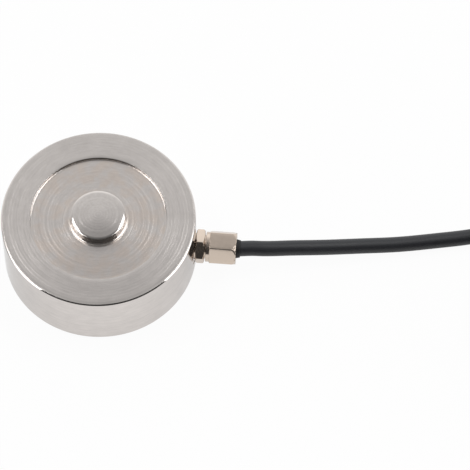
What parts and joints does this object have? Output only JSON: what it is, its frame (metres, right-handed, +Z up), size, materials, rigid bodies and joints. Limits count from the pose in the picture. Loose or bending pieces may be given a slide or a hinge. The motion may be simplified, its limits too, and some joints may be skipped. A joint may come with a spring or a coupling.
{
  "type": "button load cell",
  "caption": "Low round steel sensing body with a crowned load button on its recessed diaphragm, a side cable gland and a coiled cable with bare core ends.",
  "frame": {"origin": "on the axis of the sensing body, in the plane of its base ring", "axes": "+Z up along the body's axis towards the load button, +X along the cable gland"},
  "size_m": [0.1925, 0.0827, 0.0208],
  "materials": {
    "turned_steel": "fine turned stainless steel with concentric tool marks",
    "nickel_plate": "satin nickel plating on brass, slightly warm",
    "black_rubber": "moulded matt rubber",
    "cable_jacket": "smooth dark grey jacket with a soft sheen",
    "shrink_sleeve": "shrunk polyolefin, satin",
    "black_nylon": "moulded nylon, satin",
    "red_insulation": "smooth insulation",
    "black_insulation": "smooth insulation",
    "green_insulation": "smooth insulation",
    "white_insulation": "smooth insulation",
    "tinned_copper": "twisted strands dipped in solder",
    "board_laminate": "green glass laminate",
    "resistor_chip": "black chip with metal caps",
    "gauge_film": "amber film with etched foil",
    "enamelled_wire": "enamelled copper"
  },
  "bodies": {
    "root": {"sensor_body": "turned_steel", "base_cover": "turned_steel", "gland_body": "nickel_plate", "gland_nut": "nickel_plate", "gland_seal": "black_rubber", "cable": "cable_jacket", "cable_coil": "cable_jacket", "cable_tail": "cable_jacket", "end_sleeve": "shrink_sleeve", "cable_tie_1": "black_nylon", "cable_tie_2": "black_nylon", "cable_core_red": "red_insulation", "lead_red": "red_insulation", "cable_core_black": "black_insulation", "lead_black": "black_insulation", "cable_core_green": "green_insulation", "lead_green": "green_insulation", "cable_core_white": "white_insulation", "lead_white": "white_insulation", "lead_tip_red": "tinned_copper", "lead_tip_black": "tinned_copper", "lead_tip_green": "tinned_copper", "lead_tip_white": "tinned_copper", "shield_drain": "tinned_copper", "bridge_board": "board_laminate", "bridge_resistor_1": "resistor_chip", "bridge_resistor_2": "resistor_chip", "bridge_resistor_3": "resistor_chip", "bridge_resistor_4": "resistor_chip", "strain_gauge_1": "gauge_film", "strain_gauge_2": "gauge_film", "strain_gauge_3": "gauge_film", "strain_gauge_4": "gauge_film", "gauge_wire_1a": "enamelled_wire", "gauge_wire_1b": "enamelled_wire", "gauge_wire_2a": "enamelled_wire", "gauge_wire_2b": "enamelled_wire", "gauge_wire_3a": "enamelled_wire", "gauge_wire_3b": "enamelled_wire", "gauge_wire_4a": "enamelled_wire", "gauge_wire_4b": "enamelled_wire"}
  },
  "joints": []
}
